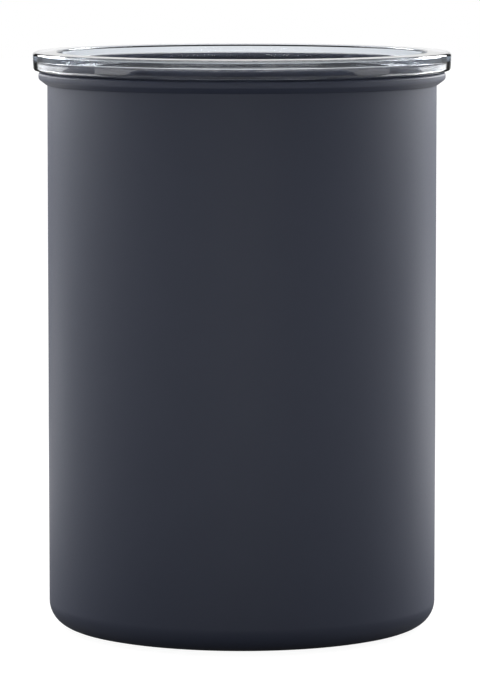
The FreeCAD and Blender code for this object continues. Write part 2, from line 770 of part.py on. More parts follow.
def helix_point(radius, pitch, turn_angle):
    """A point of a right-handed helix about Z and its unit tangent, at an angle in radians."""
    point = FreeCAD.Vector(radius * math.cos(turn_angle), radius * math.sin(turn_angle),
                           pitch * turn_angle / (2 * math.pi))
    tangent = FreeCAD.Vector(-radius * math.sin(turn_angle), radius * math.cos(turn_angle),
                             pitch / (2 * math.pi))
    return point, tangent.normalize()


def arc_from(start, tangent, finish):
    """The arc that leaves start along its tangent and ends at finish."""
    chord = finish - start
    direction = FreeCAD.Vector(chord).normalize()
    bisector = (tangent + direction).normalize()
    half_turn = math.acos(min(1, tangent.dot(direction)))
    reach = chord.Length / 2 / math.cos(half_turn / 2)
    return Part.Arc(start, start + bisector * reach, finish).toShape()


def helix_path(radius, pitch, turns):
    """A helix as biarcs of a quarter turn: two arcs each, with one tangent where they meet."""
    edges = []
    quarter = math.pi / 2
    for index in range(int(turns * 4)):
        start, leaving = helix_point(radius, pitch, index * quarter)
        finish, arriving = helix_point(radius, pitch, (index + 1) * quarter)
        chord = finish - start
        both = leaving + arriving
        spread = 2 * (1 - leaving.dot(arriving))
        lead = chord.dot(both)
        handle = (math.sqrt(lead ** 2 + spread * chord.dot(chord)) - lead) / spread
        middle = (start + finish + (leaving - arriving) * handle) / 2
        edges.append(arc_from(start, leaving, middle))
        middle_tangent = (finish - arriving * handle - (start + leaving * handle)).normalize()
        edges.append(arc_from(middle, middle_tangent, finish))
    return Part.Wire(edges)


def make_valve_spring():
    """The compression spring between the yoke and the cap, one round wire wound in a helix."""
    radius, wire = size.spring_radius.number, size.spring_wire.number
    seat_gap, turns = size.spring_seat_gap.number, size.spring_turns.number
    rise = size.spring_length.number - wire - 2 * seat_gap
    path = helix_path(radius, rise / turns, turns)
    start, tangent = helix_point(radius, rise / turns, 0)
    section = Part.Wire([Part.Circle(start, tangent, wire / 2).toShape()])
    spring = doc.addObject("Part::Feature", "valve_spring")
    spring.Label = "valve_spring"
    spring.Shape = path.makePipeShell([section], True, False)
    bottom = dish_height + yoke_top + size.spring_seat_gap + size.spring_wire / 2
    place(spring, up=bottom)
    per_turn = 64
    angles = [2 * math.pi / per_turn * index for index in range(int(turns * per_turn) + 1)]
    points = [helix_point(radius, rise / turns, angle)[0] for angle in angles]
    half_turn = per_turn // 2
    least = min((first - second).Length
                for index, first in enumerate(points) for second in points[index + half_turn:])
    length_ratio = spring.Shape.Volume / (math.pi * wire ** 2 / 4 * path.Length)
    print(f"valve_spring: least gap to itself {least - wire:.2f} mm, volume over section times length "
          f"{length_ratio:.4f}")
    return spring


def make_bail_handle():
    """The wire bail, folded flat: two pivot ends along X, two legs and a cross bar, with tangent bends."""
    half, reach = size.bail_half_width, size.bail_reach
    foot, top = size.bail_foot_bend, size.bail_top_bend
    body = new_body("bail_handle")
    path = new_sketch(body, "XY_Plane", "bail_path")
    draw_outline(path, [
        (wire_end, 0),
        (half - foot, 0, foot, LEFT),
        (half, foot),
        (half, reach - top, top, LEFT),
        (half - top, reach),
        (top - half, reach, top, LEFT),
        (-half, reach - top),
        (-half, foot, foot, LEFT),
        (foot - half, 0),
        (-wire_end, 0),
    ], closed=False)
    section = new_sketch(body, "YZ_Plane", "bail_section", wire_end)
    draw_circle(section, 0, 0, wire_radius)
    doc.recompute()
    wire = body.newObject("PartDesign::AdditivePipe", "bail_wire")
    wire.Profile = section
    wire.Spine = path
    doc.recompute()
    holes = new_sketch(body, "XY_Plane", "bail_pin_holes")
    for middle in (-cam_middle, cam_middle):
        draw_circle(holes, middle, 0, size.pin_radius)
    pocket(body, holes, size.wire_diameter * 2, both_ways=True)
    place(body, up=dish_height + axis_height)
    return body


def make_bail_cam(label, side):
    """An eccentric disc on one end of the bail, with its bore and its pin hole."""
    near = size.cam_offset if side == LEFT else -size.cam_offset - size.cam_width
    up = dish_height + axis_height
    disc = cylinder(f"{label}_disc", cam_radius, size.cam_width, "x")
    place(disc, near, cam_shift, up - cam_shift)
    bore = cylinder(f"{label}_bore", wire_radius, size.cam_width, "x")
    place(bore, near, 0, up)
    hole = cylinder(f"{label}_pin_hole", size.pin_radius, size.pin_length)
    place(hole, cam_middle * side, 0, up - cam_shift - size.pin_length / 2)
    return cut(label, cut(f"{label}_ring", disc, bore), hole)


def make_cam_pins():
    """The two cross pins that lock the cams to the wire."""
    pins = []
    for side in (LEFT, RIGHT):
        pin = cylinder(f"cam_pin_{len(pins)}", size.pin_radius, size.pin_length)
        place(pin, cam_middle * side, 0, dish_height + axis_height - cam_shift - size.pin_length / 2)
        pins.append(pin)
    return group("cam_pins", pins)


def make_pivot_bush(label, side):
    """A flanged bush in one pivot boss of the housing."""
    up = dish_height + axis_height
    sleeve_length = boss_face - bush_end
    sleeve = cylinder(f"{label}_sleeve", bush_radius, sleeve_length, "x")
    place(sleeve, bush_end if side == LEFT else -boss_face, 0, up)
    flange = cylinder(f"{label}_flange", size.bush_flange_radius, size.bush_flange_height, "x")
    place(flange, boss_face if side == LEFT else -boss_face - size.bush_flange_height, 0, up)
    whole = sleeve_length + size.bush_flange_height
    bore = cylinder(f"{label}_bore", wire_radius + size.bush_clearance, whole, "x")
    place(bore, bush_end if side == LEFT else -boss_face - size.bush_flange_height, 0, up)
    return cut(label, fuse(f"{label}_blank", sleeve, flange), bore)


parts = [
    make_shell(),
    make_outer_lid(),
    make_plunger_plate(),
    make_wiper_seal(),
    make_seal_retainer(),
    make_valve_housing(),
    make_housing_screws(),
    make_housing_cap(),
    make_valve_disc(),
    make_valve_stem(),
    make_valve_yoke(),
    make_stem_nut(),
    make_valve_spring(),
    make_bail_handle(),
    make_bail_cam("bail_cam_right", LEFT),
    make_bail_cam("bail_cam_left", RIGHT),
    make_cam_pins(),
    make_pivot_bush("pivot_bush_right", LEFT),
    make_pivot_bush("pivot_bush_left", RIGHT),
]
doc.recompute()

for thing in doc.Objects:
    if "Invalid" in thing.State or "Error" in thing.State:
        raise RuntimeError(f"{thing.Name} failed to build: {thing.State}")
for part in parts:
    if part.Shape.isNull() or not part.Shape.isValid():
        raise RuntimeError(f"{part.Label} has no valid shape")

os.makedirs("parts", exist_ok=True)
for part in parts:
    part.Shape.exportStep(f"parts/{part.Label}.step")
    box = part.Shape.BoundBox
    print(f"{part.Label}: {len(part.Shape.Solids)} solid(s), {part.Shape.Volume / 1000:.3f} cm3, "
          f"z {box.ZMin:.2f} to {box.ZMax:.2f}, reach {max(box.XMax, box.YMax):.2f}")
print(f"lid radius {lid_radius.number:.2f}, lid top {lid_top.number:.2f}, "
      f"lid underside {pan_under.number:.2f}")
print(f"inner lid underside {plunger_height.number:.3f}, dish floor {dish_height.number:.3f}, "
      f"bail axis {dish_height.number + axis_height.number:.3f}")
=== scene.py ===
# %% [markdown]
# # A steel coffee canister with a clear lid and a valved inner lid
#
# The real object is a drawn steel can with a matte charcoal powder coat. A clear moulded lid straddles
# its rolled rim. Under that lid, a dark dish with a silicone wiper slides in the bare steel bore, and a
# wire bail on it opens an air valve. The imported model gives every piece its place. This script dresses
# those pieces: it makes finer surfaces where the light shows the shape, and a finish for each material.

# %% Load the frame
import math

import bpy
import numpy as np
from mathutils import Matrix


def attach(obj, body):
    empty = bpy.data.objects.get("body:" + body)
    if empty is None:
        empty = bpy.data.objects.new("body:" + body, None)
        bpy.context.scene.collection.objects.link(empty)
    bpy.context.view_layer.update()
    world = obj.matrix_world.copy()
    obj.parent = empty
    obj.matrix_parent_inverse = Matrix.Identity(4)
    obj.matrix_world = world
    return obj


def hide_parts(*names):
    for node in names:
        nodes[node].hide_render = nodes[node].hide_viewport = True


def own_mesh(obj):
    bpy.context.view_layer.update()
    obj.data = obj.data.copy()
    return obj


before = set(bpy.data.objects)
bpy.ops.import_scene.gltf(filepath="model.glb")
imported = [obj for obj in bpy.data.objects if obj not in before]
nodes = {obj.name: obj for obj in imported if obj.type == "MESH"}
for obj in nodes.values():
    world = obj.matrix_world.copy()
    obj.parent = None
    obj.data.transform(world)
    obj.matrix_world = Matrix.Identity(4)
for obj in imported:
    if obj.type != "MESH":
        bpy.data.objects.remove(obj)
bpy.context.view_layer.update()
MM = 0.001

# %% [markdown]
# ## The camera
#
# The photograph is a long-lens product shot, taken a little from above. A long lens keeps the sides of
# the can nearly parallel, so the camera's place was worked out from two facts: how much the sides lean
# in, and how open the ovals at the lid and the base are. The numbers below are real distances. The lens
# follows from the image size.

# %% Camera
IMAGE_HIGH = 694
SENSOR_MM = 36.0
FOCAL_PIXELS = 4572.0
CAMERA_AWAY = 1.3985
CAMERA_UP = 0.23506
CAMERA_PITCH = math.radians(6.1)
SHIFT_PIXELS = -2.0

camera = bpy.data.objects.new("camera", bpy.data.cameras.new("camera"))
bpy.context.scene.collection.objects.link(camera)
camera.location = (0.0, -CAMERA_AWAY, CAMERA_UP)
camera.rotation_euler = (math.pi / 2 - CAMERA_PITCH, 0.0, 0.0)
camera.data.sensor_width = SENSOR_MM
camera.data.lens = FOCAL_PIXELS * SENSOR_MM / IMAGE_HIGH
camera.data.shift_x = SHIFT_PIXELS / IMAGE_HIGH
bpy.context.scene.camera = camera
bpy.context.scene.view_settings.view_transform = "Standard"
print(f"lens {camera.data.lens:.1f} mm, {CAMERA_AWAY:.2f} m away, {CAMERA_UP:.3f} m up")

# %% [markdown]
# ## Outlines, lathes and wires
#
# Nearly every piece is round, so it can be turned on a lathe: an outline in radius and height, carried
# round the axis. An outline here is a short list of corners, each with the radius that rounds it off,
# because moulded and drawn pieces have no razor edges, and it is the round edge that catches the light.
# Blender could round the edges with a Bevel modifier, but arcs worked out by formula also give the exact
# normal at each point, and the clear lid needs those to bend light cleanly.

# %% Outline tool
SAME_PLACE = 1e-5


def round_off(corners, arc_steps=10, run_step=4.0):
    """Round off the corners of an outline and give each point its outward normal.

    A corner is (radius, height, rounding) in millimetres, and the inside lies to the left of the way
    round. Where the way turns by an angle a, an arc of the rounding starts rounding * tan(a / 2) before
    the corner and is tangent to both runs. With heading h, the outward normal is (sin h, -cos h). Long
    runs are divided at about run_step, and points nearer to each other than SAME_PLACE become one. Returns
    points in metres, normals, and for each point the number of its corner, plus a half on a run.
    """
    flat = np.array([corner[:2] for corner in corners], float)
    rounding = np.array([corner[2] for corner in corners], float)
    ahead = np.roll(flat, -1, axis=0) - flat
    length = np.linalg.norm(ahead, axis=1)
    heading = np.arctan2(ahead[:, 1], ahead[:, 0])
    before = np.roll(heading, 1)
    turn = (heading - before + math.pi) % (2 * math.pi) - math.pi
    setback = rounding * np.abs(np.tan(turn / 2))
    points, angles, owners = [], [], []
    for index, corner in enumerate(flat):
        if rounding[index] > 0:
            steps = max(2, math.ceil(abs(turn[index]) / (math.pi / 2) * arc_steps))
            angle = before[index] + np.linspace(0.0, turn[index], steps + 1)
            way_in = np.array([math.cos(before[index]), math.sin(before[index])])
            start = corner - way_in * setback[index]
            side = np.sign(turn[index]) * rounding[index]
            bow_out = np.sin(angle) - math.sin(before[index])
            bow_up = math.cos(before[index]) - np.cos(angle)
            points.append(start + side * np.stack([bow_out, bow_up], axis=1))
            angles.append(angle)
        else:
            points.append(corner[None])
            angles.append(np.array([heading[index] if index == 0 else before[index]]))
        owners.append(np.full(len(angles[-1]), float(index)))
        following = (index + 1) % len(flat)
        run = length[index] - setback[index] - setback[following]
        if flat[index, 0] == 0 and flat[following, 0] == 0:
            continue
        parts = max(1, int(run / run_step))
        share = (np.arange(1, parts) / parts)[:, None]
        way_out = ahead[index] / length[index]
        points.append(corner + way_out * (setback[index] + run * share))
        angles.append(np.full(len(share), heading[index]))
        owners.append(np.full(len(share), index + 0.5))
    points, angles, owners = np.concatenate(points), np.concatenate(angles), np.concatenate(owners)
    fresh = np.linalg.norm(points - np.roll(points, 1, axis=0), axis=1) > SAME_PLACE
    normals = np.stack([np.sin(angles), -np.cos(angles)], axis=1)
    return points[fresh] * MM, normals[fresh], owners[fresh]


sample, _, _ = round_off([(0, 0, 0), (9, 0, 3), (9, 9, 0), (0, 9, 0)])
print("a square with one round corner has", len(sample), "points")

# %% [markdown]
# A surface is then a grid of points: one way round, one way along. Both a lathe and a bent wire are such
# grids that close on themselves, so one function skins them. Where a whole line of the grid falls on one
# point, as at the middle of a base, that point is kept once, so that the skin is closed there.

# %% Skin tools


def make_piece(name, points, faces, normals, materials, face_materials=None):
    """Put whole arrays of points, faces and normals into a mesh object that sits at the origin."""
    mesh = bpy.data.meshes.new(name)
    mesh.from_pydata(points, [], faces)
    for material in materials:
        mesh.materials.append(material)
    if face_materials is not None:
        mesh.polygons.foreach_set("material_index", np.asarray(face_materials, np.int32))
    mesh.shade_smooth()
    mesh.normals_split_custom_set_from_vertices(normals)
    piece = bpy.data.objects.new(name, mesh)
    bpy.context.scene.collection.objects.link(piece)
    print(f"{name}: {len(points)} points, {len(faces)} faces")
    return piece


def skin(name, points, normals, pole, materials, which=None, straightened=None):
    """Skin a grid of rows and columns that closes on itself both ways.

    The four corners of a face are (row, column), (row + 1, column), (row + 1, column + 1) and
    (row, column + 1). A column marked as a pole is one point, and the empty strip between two poles is
    left out. The optional third grid is kept as the attribute straightened, for patterns that follow a
    wire.
    """
    rows, columns = points.shape[:2]
    index = np.arange(rows * columns).reshape(rows, columns)
    index[:, pole] = index[0, pole]
    there = np.roll(index, -1, axis=0)
    quads = np.stack([index, there, np.roll(there, -1, axis=1), np.roll(index, -1, axis=1)], axis=2)
    real = ~(pole & np.roll(pole, -1))
    used, quads = np.unique(quads[:, real].reshape(-1, 4), return_inverse=True)
    faces = [list(dict.fromkeys(face)) for face in quads.reshape(-1, 4).tolist()]
    if which is not None:
        which = np.broadcast_to(which[real], (rows, real.sum())).reshape(-1)
    places, outward = points.reshape(-1, 3)[used], normals.reshape(-1, 3)[used]
    piece = make_piece(name, places, faces, outward, materials, which)
    if straightened is not None:
        kept = piece.data.attributes.new("straightened", "FLOAT_VECTOR", "POINT")
        kept.data.foreach_set("vector", straightened.reshape(-1, 3)[used].astype(np.float32).reshape(-1))
    return piece


print("skin tools are ready")

# %% [markdown]
# A lathe carries an outline once round the axis. Blender's Screw modifier does that too, but it works out
# its own normals, and the exact ones of the arcs would be lost.

# %% Lathe
ON_AXIS = 1e-9


def lathe(name, corners, materials, material_at=None, turns=192, **rounding):
    """Carry a rounded outline once round the Z axis.

    The point at angle t and outline place s is (r(s) cos t, r(s) sin t, z(s)), and its normal is turned
    alike. Where r(s) is less than ON_AXIS, the ring is a pole.
    """
    outline, normal, owner = round_off(corners, **rounding)
    angle = np.arange(turns) * (2 * math.pi / turns)
    spin = np.stack([np.cos(angle), np.sin(angle)], axis=1)
    points, normals = np.empty((2, turns, len(outline), 3))
    for grid, flat in ((points, outline), (normals, normal)):
        grid[..., :2] = spin[:, None] * flat[None, :, :1]
        grid[..., 2] = flat[:, 1]
    which = None if material_at is None else material_at(owner)
    return skin(name, points, normals, outline[:, 0] < ON_AXIS, materials, which)


print("lathe is ready")

# %% [markdown]
# A wire is a circle carried along a path. Where a saw or a cutter parted it, its ends are flat, with an edge
# that is only just rounded.

# %% Wire
WIRE_EDGE, WIRE_EDGE_RINGS = 0.25, 4


def wire(name, path, across, radius, materials, around=28):
    """Carry a circle along a path, and round its ends off to a flat cut.

    The point at path place s and angle a is path + radius * (cos a * across + sin a * over), where across
    is square to the path and over = ahead x across. At each end, rings on a quarter circle of WIRE_EDGE
    times the radius lead to a pole. On the straightened wire the same point is (length so far,
    radius * cos a, radius * sin a).
    """
    ahead = np.gradient(path, axis=0)
    ahead /= np.linalg.norm(ahead, axis=1)[:, None]
    so_far = np.append(0.0, np.cumsum(np.linalg.norm(np.diff(path, axis=0), axis=1)))
    quarter = np.linspace(0.0, math.pi / 2, WIRE_EDGE_RINGS, endpoint=False)
    edge = WIRE_EDGE * radius
    cut_size = np.append(0.0, radius - edge * (1 - np.sin(quarter)))
    cut_lean = np.append(1.0, np.cos(quarter))
    last, rings = len(path) - 1, len(cut_size)
    station = np.concatenate([np.zeros(rings, int), np.arange(last + 1), np.full(rings, last)])
    size = np.concatenate([cut_size, np.full(last + 1, radius), cut_size[::-1]])
    lean = np.concatenate([-cut_lean, np.zeros(last + 1), cut_lean[::-1]])
    angle = np.arange(around) * (2 * math.pi / around)
    over = np.cross(ahead, across)
    out = np.cos(angle)[:, None, None] * across[station] + np.sin(angle)[:, None, None] * over[station]
    points = path[station] + ahead[station] * (edge * lean)[:, None] + out * size[:, None]
    normals = out * np.sqrt(1 - lean ** 2)[:, None] + ahead[station] * lean[:, None]
    straightened = np.empty_like(points)
    straightened[..., 0] = so_far[station] + edge * lean
    straightened[..., 1] = np.cos(angle)[:, None] * size
    straightened[..., 2] = np.sin(angle)[:, None] * size
    return skin(name, points, normals, size < ON_AXIS, materials, straightened=straightened)


print(f"wire is ready, its ends rounded over {WIRE_EDGE:.0%} of its radius")

# %% [markdown]
# ## Finishes
#
# Each finish starts from a real material and the way its surface was made. Colours are written as sRGB
# hex values, as a paint chart gives them, and one function turns them into the linear light that a shader
# works in. One more function adds a node, so that each material below reads as a short list of what feeds
# what.

# %% Colour and node tools


def linear(hex_colour):
    """Turn an sRGB hex colour into linear RGBA: value / 12.92 when darkest, a power of 2.4 above that."""
    value = np.array([int(hex_colour[place:place + 2], 16) for place in (1, 3, 5)]) / 255
    light = np.where(value <= 0.04045, value / 12.92, ((value + 0.055) / 1.055) ** 2.4)
    return (*light.tolist(), 1.0)


def add_node(tree, kind, settings=(), inputs=()):
    """Add one node, set its own settings, and give each named input a value or the socket that feeds it."""
    made = tree.nodes.new(kind)
    for key, value in dict(settings).items():
        setattr(made, key, value)
    for key, value in dict(inputs).items():
        if isinstance(value, bpy.types.NodeSocket):
            tree.links.new(value, made.inputs[key])
        else:
            made.inputs[key].default_value = value
    return made


def new_material(name):
    """An empty node material with its Principled shader and its Object coordinates."""
    material = bpy.data.materials.new(name)
    material.use_nodes = True
    tree = material.node_tree
    place = add_node(tree, "ShaderNodeTexCoord").outputs["Object"]
    return material, tree, tree.nodes["Principled BSDF"], place


print("charcoal as linear light:", np.round(linear("#393f52"), 4).tolist())

# %% [markdown]
# ### Charcoal powder coat
#
# Powder paint is sprayed on dry and melts in an oven. It leaves a dull skin with a fine grit and, under
# it, slow shallow waves that painters call orange peel. Seen straight on the can is nearly black, and
# towards its sides the grit turns pale, because a rough surface shines most at a glancing angle. The grit
# is finer than a pixel here, so it is drawn twice its real size, just enough to break up the reflections.

# %% Charcoal powder coat
COAT_GRIT = 0.5 * MM
COAT_PEEL = 2.2 * MM
COAT_CLOUD = 14 * MM

powder_coat, tree, shader, place = new_material("charcoal_powder_coat")
grit = add_node(tree, "ShaderNodeTexNoise", inputs={"Vector": place, "Scale": 1 / COAT_GRIT, "Detail": 2.0})
peel = add_node(tree, "ShaderNodeTexNoise", inputs={"Vector": place, "Scale": 1 / COAT_PEEL, "Detail": 1.0})
cloud = add_node(tree, "ShaderNodeTexNoise", inputs={"Vector": place, "Scale": 1 / COAT_CLOUD, "Detail": 3.0})
tint = add_node(tree, "ShaderNodeMix", {"data_type": "RGBA"},
                {0: cloud.outputs[0], 6: linear("#393f52"), 7: linear("#3d4356")})
dull = add_node(tree, "ShaderNodeMapRange", inputs={0: grit.outputs[0], 3: 0.46, 4: 0.56})
waves = add_node(tree, "ShaderNodeBump", inputs={
    "Strength": 0.15, "Distance": 0.02 * MM, "Height": peel.outputs[0]})
grain = add_node(tree, "ShaderNodeBump", inputs={
    "Strength": 0.35, "Distance": 0.03 * MM, "Height": grit.outputs[0], "Normal": waves.outputs[0]})
tree.links.new(tint.outputs[2], shader.inputs["Base Color"])
tree.links.new(dull.outputs[0], shader.inputs["Roughness"])
tree.links.new(grain.outputs[0], shader.inputs["Normal"])
shader.inputs["IOR"].default_value = 1.5
print("made", powder_coat.name)

# %% [markdown]
# ### Bare steel of the bore
#
# Inside, the can is uncoated stainless steel. Deep drawing and a turning brush leave fine lines that run
# round the bore, so the noise is stretched: long in the plane of the ring and short along the axis.

# %% Drawn stainless steel
BRUSH_LINE = 0.35 * MM
BRUSH_RUN = 30 * MM

bore_steel, tree, shader, place = new_material("drawn_stainless_steel")
stretch = add_node(tree, "ShaderNodeMapping", {"vector_type": "POINT"},
                   {"Vector": place, "Scale": (1 / BRUSH_RUN, 1 / BRUSH_RUN, 1 / BRUSH_LINE)})
lines = add_node(tree, "ShaderNodeTexNoise", inputs={
    "Vector": stretch.outputs[0], "Scale": 1.0, "Detail": 3.0})
tint = add_node(tree, "ShaderNodeMix", {"data_type": "RGBA"},
                {0: lines.outputs[0], 6: linear("#b4b5b6"), 7: linear("#cbcccc")})
dull = add_node(tree, "ShaderNodeMapRange", inputs={0: lines.outputs[0], 3: 0.24, 4: 0.4})
groove = add_node(tree, "ShaderNodeBump", inputs={
    "Strength": 0.2, "Distance": 0.02 * MM, "Height": lines.outputs[0]})
tree.links.new(tint.outputs[2], shader.inputs["Base Color"])
tree.links.new(dull.outputs[0], shader.inputs["Roughness"])
tree.links.new(groove.outputs[0], shader.inputs["Normal"])
shader.inputs["Metallic"].default_value = 1.0
print("made", bore_steel.name)

# %% [markdown]
# ### Clear moulded plastic
#
# The outer lid is a clear copolyester moulding, polished in the tool. It bends light a little more than
# window glass, and what shows it is its edges: they gather the dark rim on one side and the white room on
# the other. Looked at edge on, through a long way of plastic, it is slightly blue, so the colour is an
# absorption inside it and not a tint on its surface.

# %% Clear moulded plastic
FLOW_WAVE = 9 * MM
HAZE_PATCH = 4 * MM

clear_plastic, tree, shader, place = new_material("clear_copolyester")
flow = add_node(tree, "ShaderNodeTexNoise", inputs={"Vector": place, "Scale": 1 / FLOW_WAVE, "Detail": 1.0})
haze = add_node(tree, "ShaderNodeTexNoise", inputs={"Vector": place, "Scale": 1 / HAZE_PATCH, "Detail": 4.0})
dull = add_node(tree, "ShaderNodeMapRange", inputs={0: haze.outputs[0], 3: 0.0, 4: 0.03})
waves = add_node(tree, "ShaderNodeBump", inputs={
    "Strength": 0.05, "Distance": 0.05 * MM, "Height": flow.outputs[0]})
depth = add_node(tree, "ShaderNodeVolumeAbsorption", inputs={"Color": linear("#92adc8"), "Density": 48.0})
tree.links.new(depth.outputs[0], tree.nodes["Material Output"].inputs["Volume"])
tree.links.new(dull.outputs[0], shader.inputs["Roughness"])
tree.links.new(waves.outputs[0], shader.inputs["Normal"])
shader.inputs["Base Color"].default_value = linear("#ffffff")
shader.inputs["Transmission Weight"].default_value = 1.0
shader.inputs["IOR"].default_value = 1.55
print("made", clear_plastic.name)

# %% [markdown]
# ## The canister body
#
# The body is one sheet of steel: a raised base, a straight wall and a rim that is rolled outwards and
# tucked back against the wall. Under the lid the rim shows as a rounded bead, and over the bead, behind the
# foot of the lid, a groove makes the dark line that parts the two. A cylinder with loop cuts could be pulled
# into this shape, but here a single closed outline follows the sheet out over its outer face and back down
# the bore, so that every size can be read. The coat ends just inside the crest of the rim, and the faces
# after that corner take the bare steel.

# %% Canister body
SHEET = 0.7
BODY_R = 59.5
RIM_R = 62.2
CREST = 173.6
BASE_ROUND = 7.6
BASE_RISE = 1.2
RING_INNER = 45.9
# The inner face of the sheet takes the step in the base this much further out.
STEP_ROUND, STEP_SHIFT = 0.6, 0.29
LIP_END_R = 59.7
LIP_OUTER, LIP_INNER = (166.32, 168.20), (167.19, 168.55)
LIP_ROUND = 1.2
BEAD_TOP, BEAD_ROUND = 170.3, 0.85
GROOVE_TOP, GROOVE_DEEP, GROOVE_ROUND = 171.55, 1.3, 0.3
SLIT_R, SLIT_ROUND = 60.2, 0.2
EDGE = 0.12

bore_r = BODY_R - SHEET
curl = (RIM_R - bore_r) / 2
body_outline = [
    (0, BASE_RISE, 0),
    (RING_INNER - BASE_RISE, BASE_RISE, STEP_ROUND),
    (RING_INNER, 0, STEP_ROUND),
    (BODY_R, 0, BASE_ROUND),
    (BODY_R, CREST - SHEET, SLIT_ROUND),
    (SLIT_R, CREST - SHEET, SLIT_ROUND),
    (SLIT_R, BEAD_TOP - SHEET, SLIT_ROUND),
    (RIM_R - SHEET, BEAD_TOP - SHEET, SLIT_ROUND),
    (RIM_R - SHEET, LIP_INNER[1], LIP_ROUND - SHEET),
    (LIP_END_R, LIP_INNER[0], EDGE),
    (LIP_END_R, LIP_OUTER[0], EDGE),
    (RIM_R, LIP_OUTER[1], LIP_ROUND),
    (RIM_R, BEAD_TOP, BEAD_ROUND),
    (RIM_R - GROOVE_DEEP, BEAD_TOP, GROOVE_ROUND),
    (RIM_R - GROOVE_DEEP, GROOVE_TOP, GROOVE_ROUND),
    (RIM_R, GROOVE_TOP, GROOVE_ROUND),
    (RIM_R, CREST, curl),
    (bore_r, CREST, curl),
    (bore_r, SHEET, BASE_ROUND - SHEET),
    (RING_INNER + STEP_SHIFT, SHEET, STEP_ROUND),
    (RING_INNER - BASE_RISE + STEP_SHIFT, BASE_RISE + SHEET, STEP_ROUND),
    (0, BASE_RISE + SHEET, 0),
]
crest_inside = body_outline.index((bore_r, CREST, curl))
body = lathe("canister_body", body_outline, [powder_coat, bore_steel],
             material_at=lambda owner: (owner > crest_inside).astype(int))
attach(body, "canister")
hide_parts("canister_shell")

# %% [markdown]
# ## The clear lid
#
# The lid is a ring-shaped channel over the rim with a sunken pan inside it, so that the base of another
# canister can stack there. Its skirt ends just above the bead of the rim and leans in a little at its foot,
# so that the moulding leaves its tool, and the flat land on top falls slightly to the outside. It is one
# wall of plastic about 1.5 mm thick, and as it is see-through both of its faces show. A single sheet with a
# glass shader would bend light only once, so the lid is one closed surface with real thickness.

# %% Clear lid
LID_R = 64.0
LID_TOP = 176.5
SKIRT_BORE = 62.5
SKIRT_BOTTOM = 170.85
CHANNEL_ROOF = 173.9
PLUG_R = 58.1
PAN_R = 56.6
PAN_FLOOR, PAN_UNDER = 169.9, 168.2
PLUG_ROUND = 2.5
CHANNEL_ROUND = 0.15
FOOT_LEAN, FOOT_HIGH = 0.17, 2.5
FOOT_ROUND, FOOT_BLEND = 0.9, 2.5
LAND_FALL, LAND_ROUND = 0.1, 1.0
PAN_EDGE, PAN_ROUND = 0.5, 2.0

lid = lathe("clear_lid", [
    (0, PAN_UNDER, 0),
    (PLUG_R, PAN_UNDER, PLUG_ROUND),
    (PLUG_R, CHANNEL_ROOF, CHANNEL_ROUND),
    (SKIRT_BORE, CHANNEL_ROOF, CHANNEL_ROUND),
    (SKIRT_BORE, SKIRT_BOTTOM, EDGE),
    (LID_R - FOOT_LEAN, SKIRT_BOTTOM, FOOT_ROUND),
    (LID_R, SKIRT_BOTTOM + FOOT_HIGH, FOOT_BLEND),
    (LID_R, LID_TOP - LAND_FALL, LAND_ROUND),
    (PAN_R, LID_TOP, PAN_EDGE),
    (PAN_R, PAN_FLOOR, PAN_ROUND),
    (0, PAN_FLOOR, 0),
], [clear_plastic], turns=256, arc_steps=14, run_step=2.0)
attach(lid, "outer_lid")
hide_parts("outer_lid")

# %% [markdown]
# ## The inner lid's finishes
#
# Under the clear lid sits the inner lid: a moulded dish with a turret that holds the valve. Its moulded
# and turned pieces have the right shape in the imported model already, so they stay and only get a finish.
# The dish, turret, cap and retainer are black polypropylene from a spark-eroded mould, which leaves an
# even, fine grain and a soft sheen. The grain is a quarter of a millimetre on the real thing and drawn
# a little coarser, so that it shows.

# %% Moulded polypropylene
MOULD_GRAIN = 0.4 * MM
MOULD_FLOW = 12 * MM


def dress(material, *names):
    """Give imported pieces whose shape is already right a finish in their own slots."""
    for name in names:
        for slot in nodes[name].material_slots:
            slot.material = material
    print(material.name, "on", ", ".join(names))


polypropylene, tree, shader, place = new_material("moulded_polypropylene")
erosion = add_node(tree, "ShaderNodeTexNoise", inputs={
    "Vector": place, "Scale": 1 / MOULD_GRAIN, "Detail": 2.0})
flow = add_node(tree, "ShaderNodeTexNoise", inputs={"Vector": place, "Scale": 1 / MOULD_FLOW, "Detail": 2.0})
tint = add_node(tree, "ShaderNodeMix", {"data_type": "RGBA"},
                {0: flow.outputs[0], 6: linear("#232427"), 7: linear("#2a2b2f")})
dull = add_node(tree, "ShaderNodeMapRange", inputs={0: erosion.outputs[0], 3: 0.38, 4: 0.58})
grain = add_node(tree, "ShaderNodeBump", inputs={
    "Strength": 0.5, "Distance": 0.05 * MM, "Height": erosion.outputs[0]})
tree.links.new(tint.outputs[2], shader.inputs["Base Color"])
tree.links.new(dull.outputs[0], shader.inputs["Roughness"])
tree.links.new(grain.outputs[0], shader.inputs["Normal"])
shader.inputs["IOR"].default_value = 1.49
dress(polypropylene, "plunger_plate", "seal_retainer", "valve_housing", "housing_cap")

# %% [markdown]
# ### White acetal
#
# The stem, the yoke, the cams and the pivot bushes rub on each other, so they are acetal: a slippery,
# slightly waxy white plastic with faint clouds where the melt flowed into the mould.

# %% White acetal
ACETAL_FLOW = 3 * MM
ACETAL_SKIN = 0.3 * MM

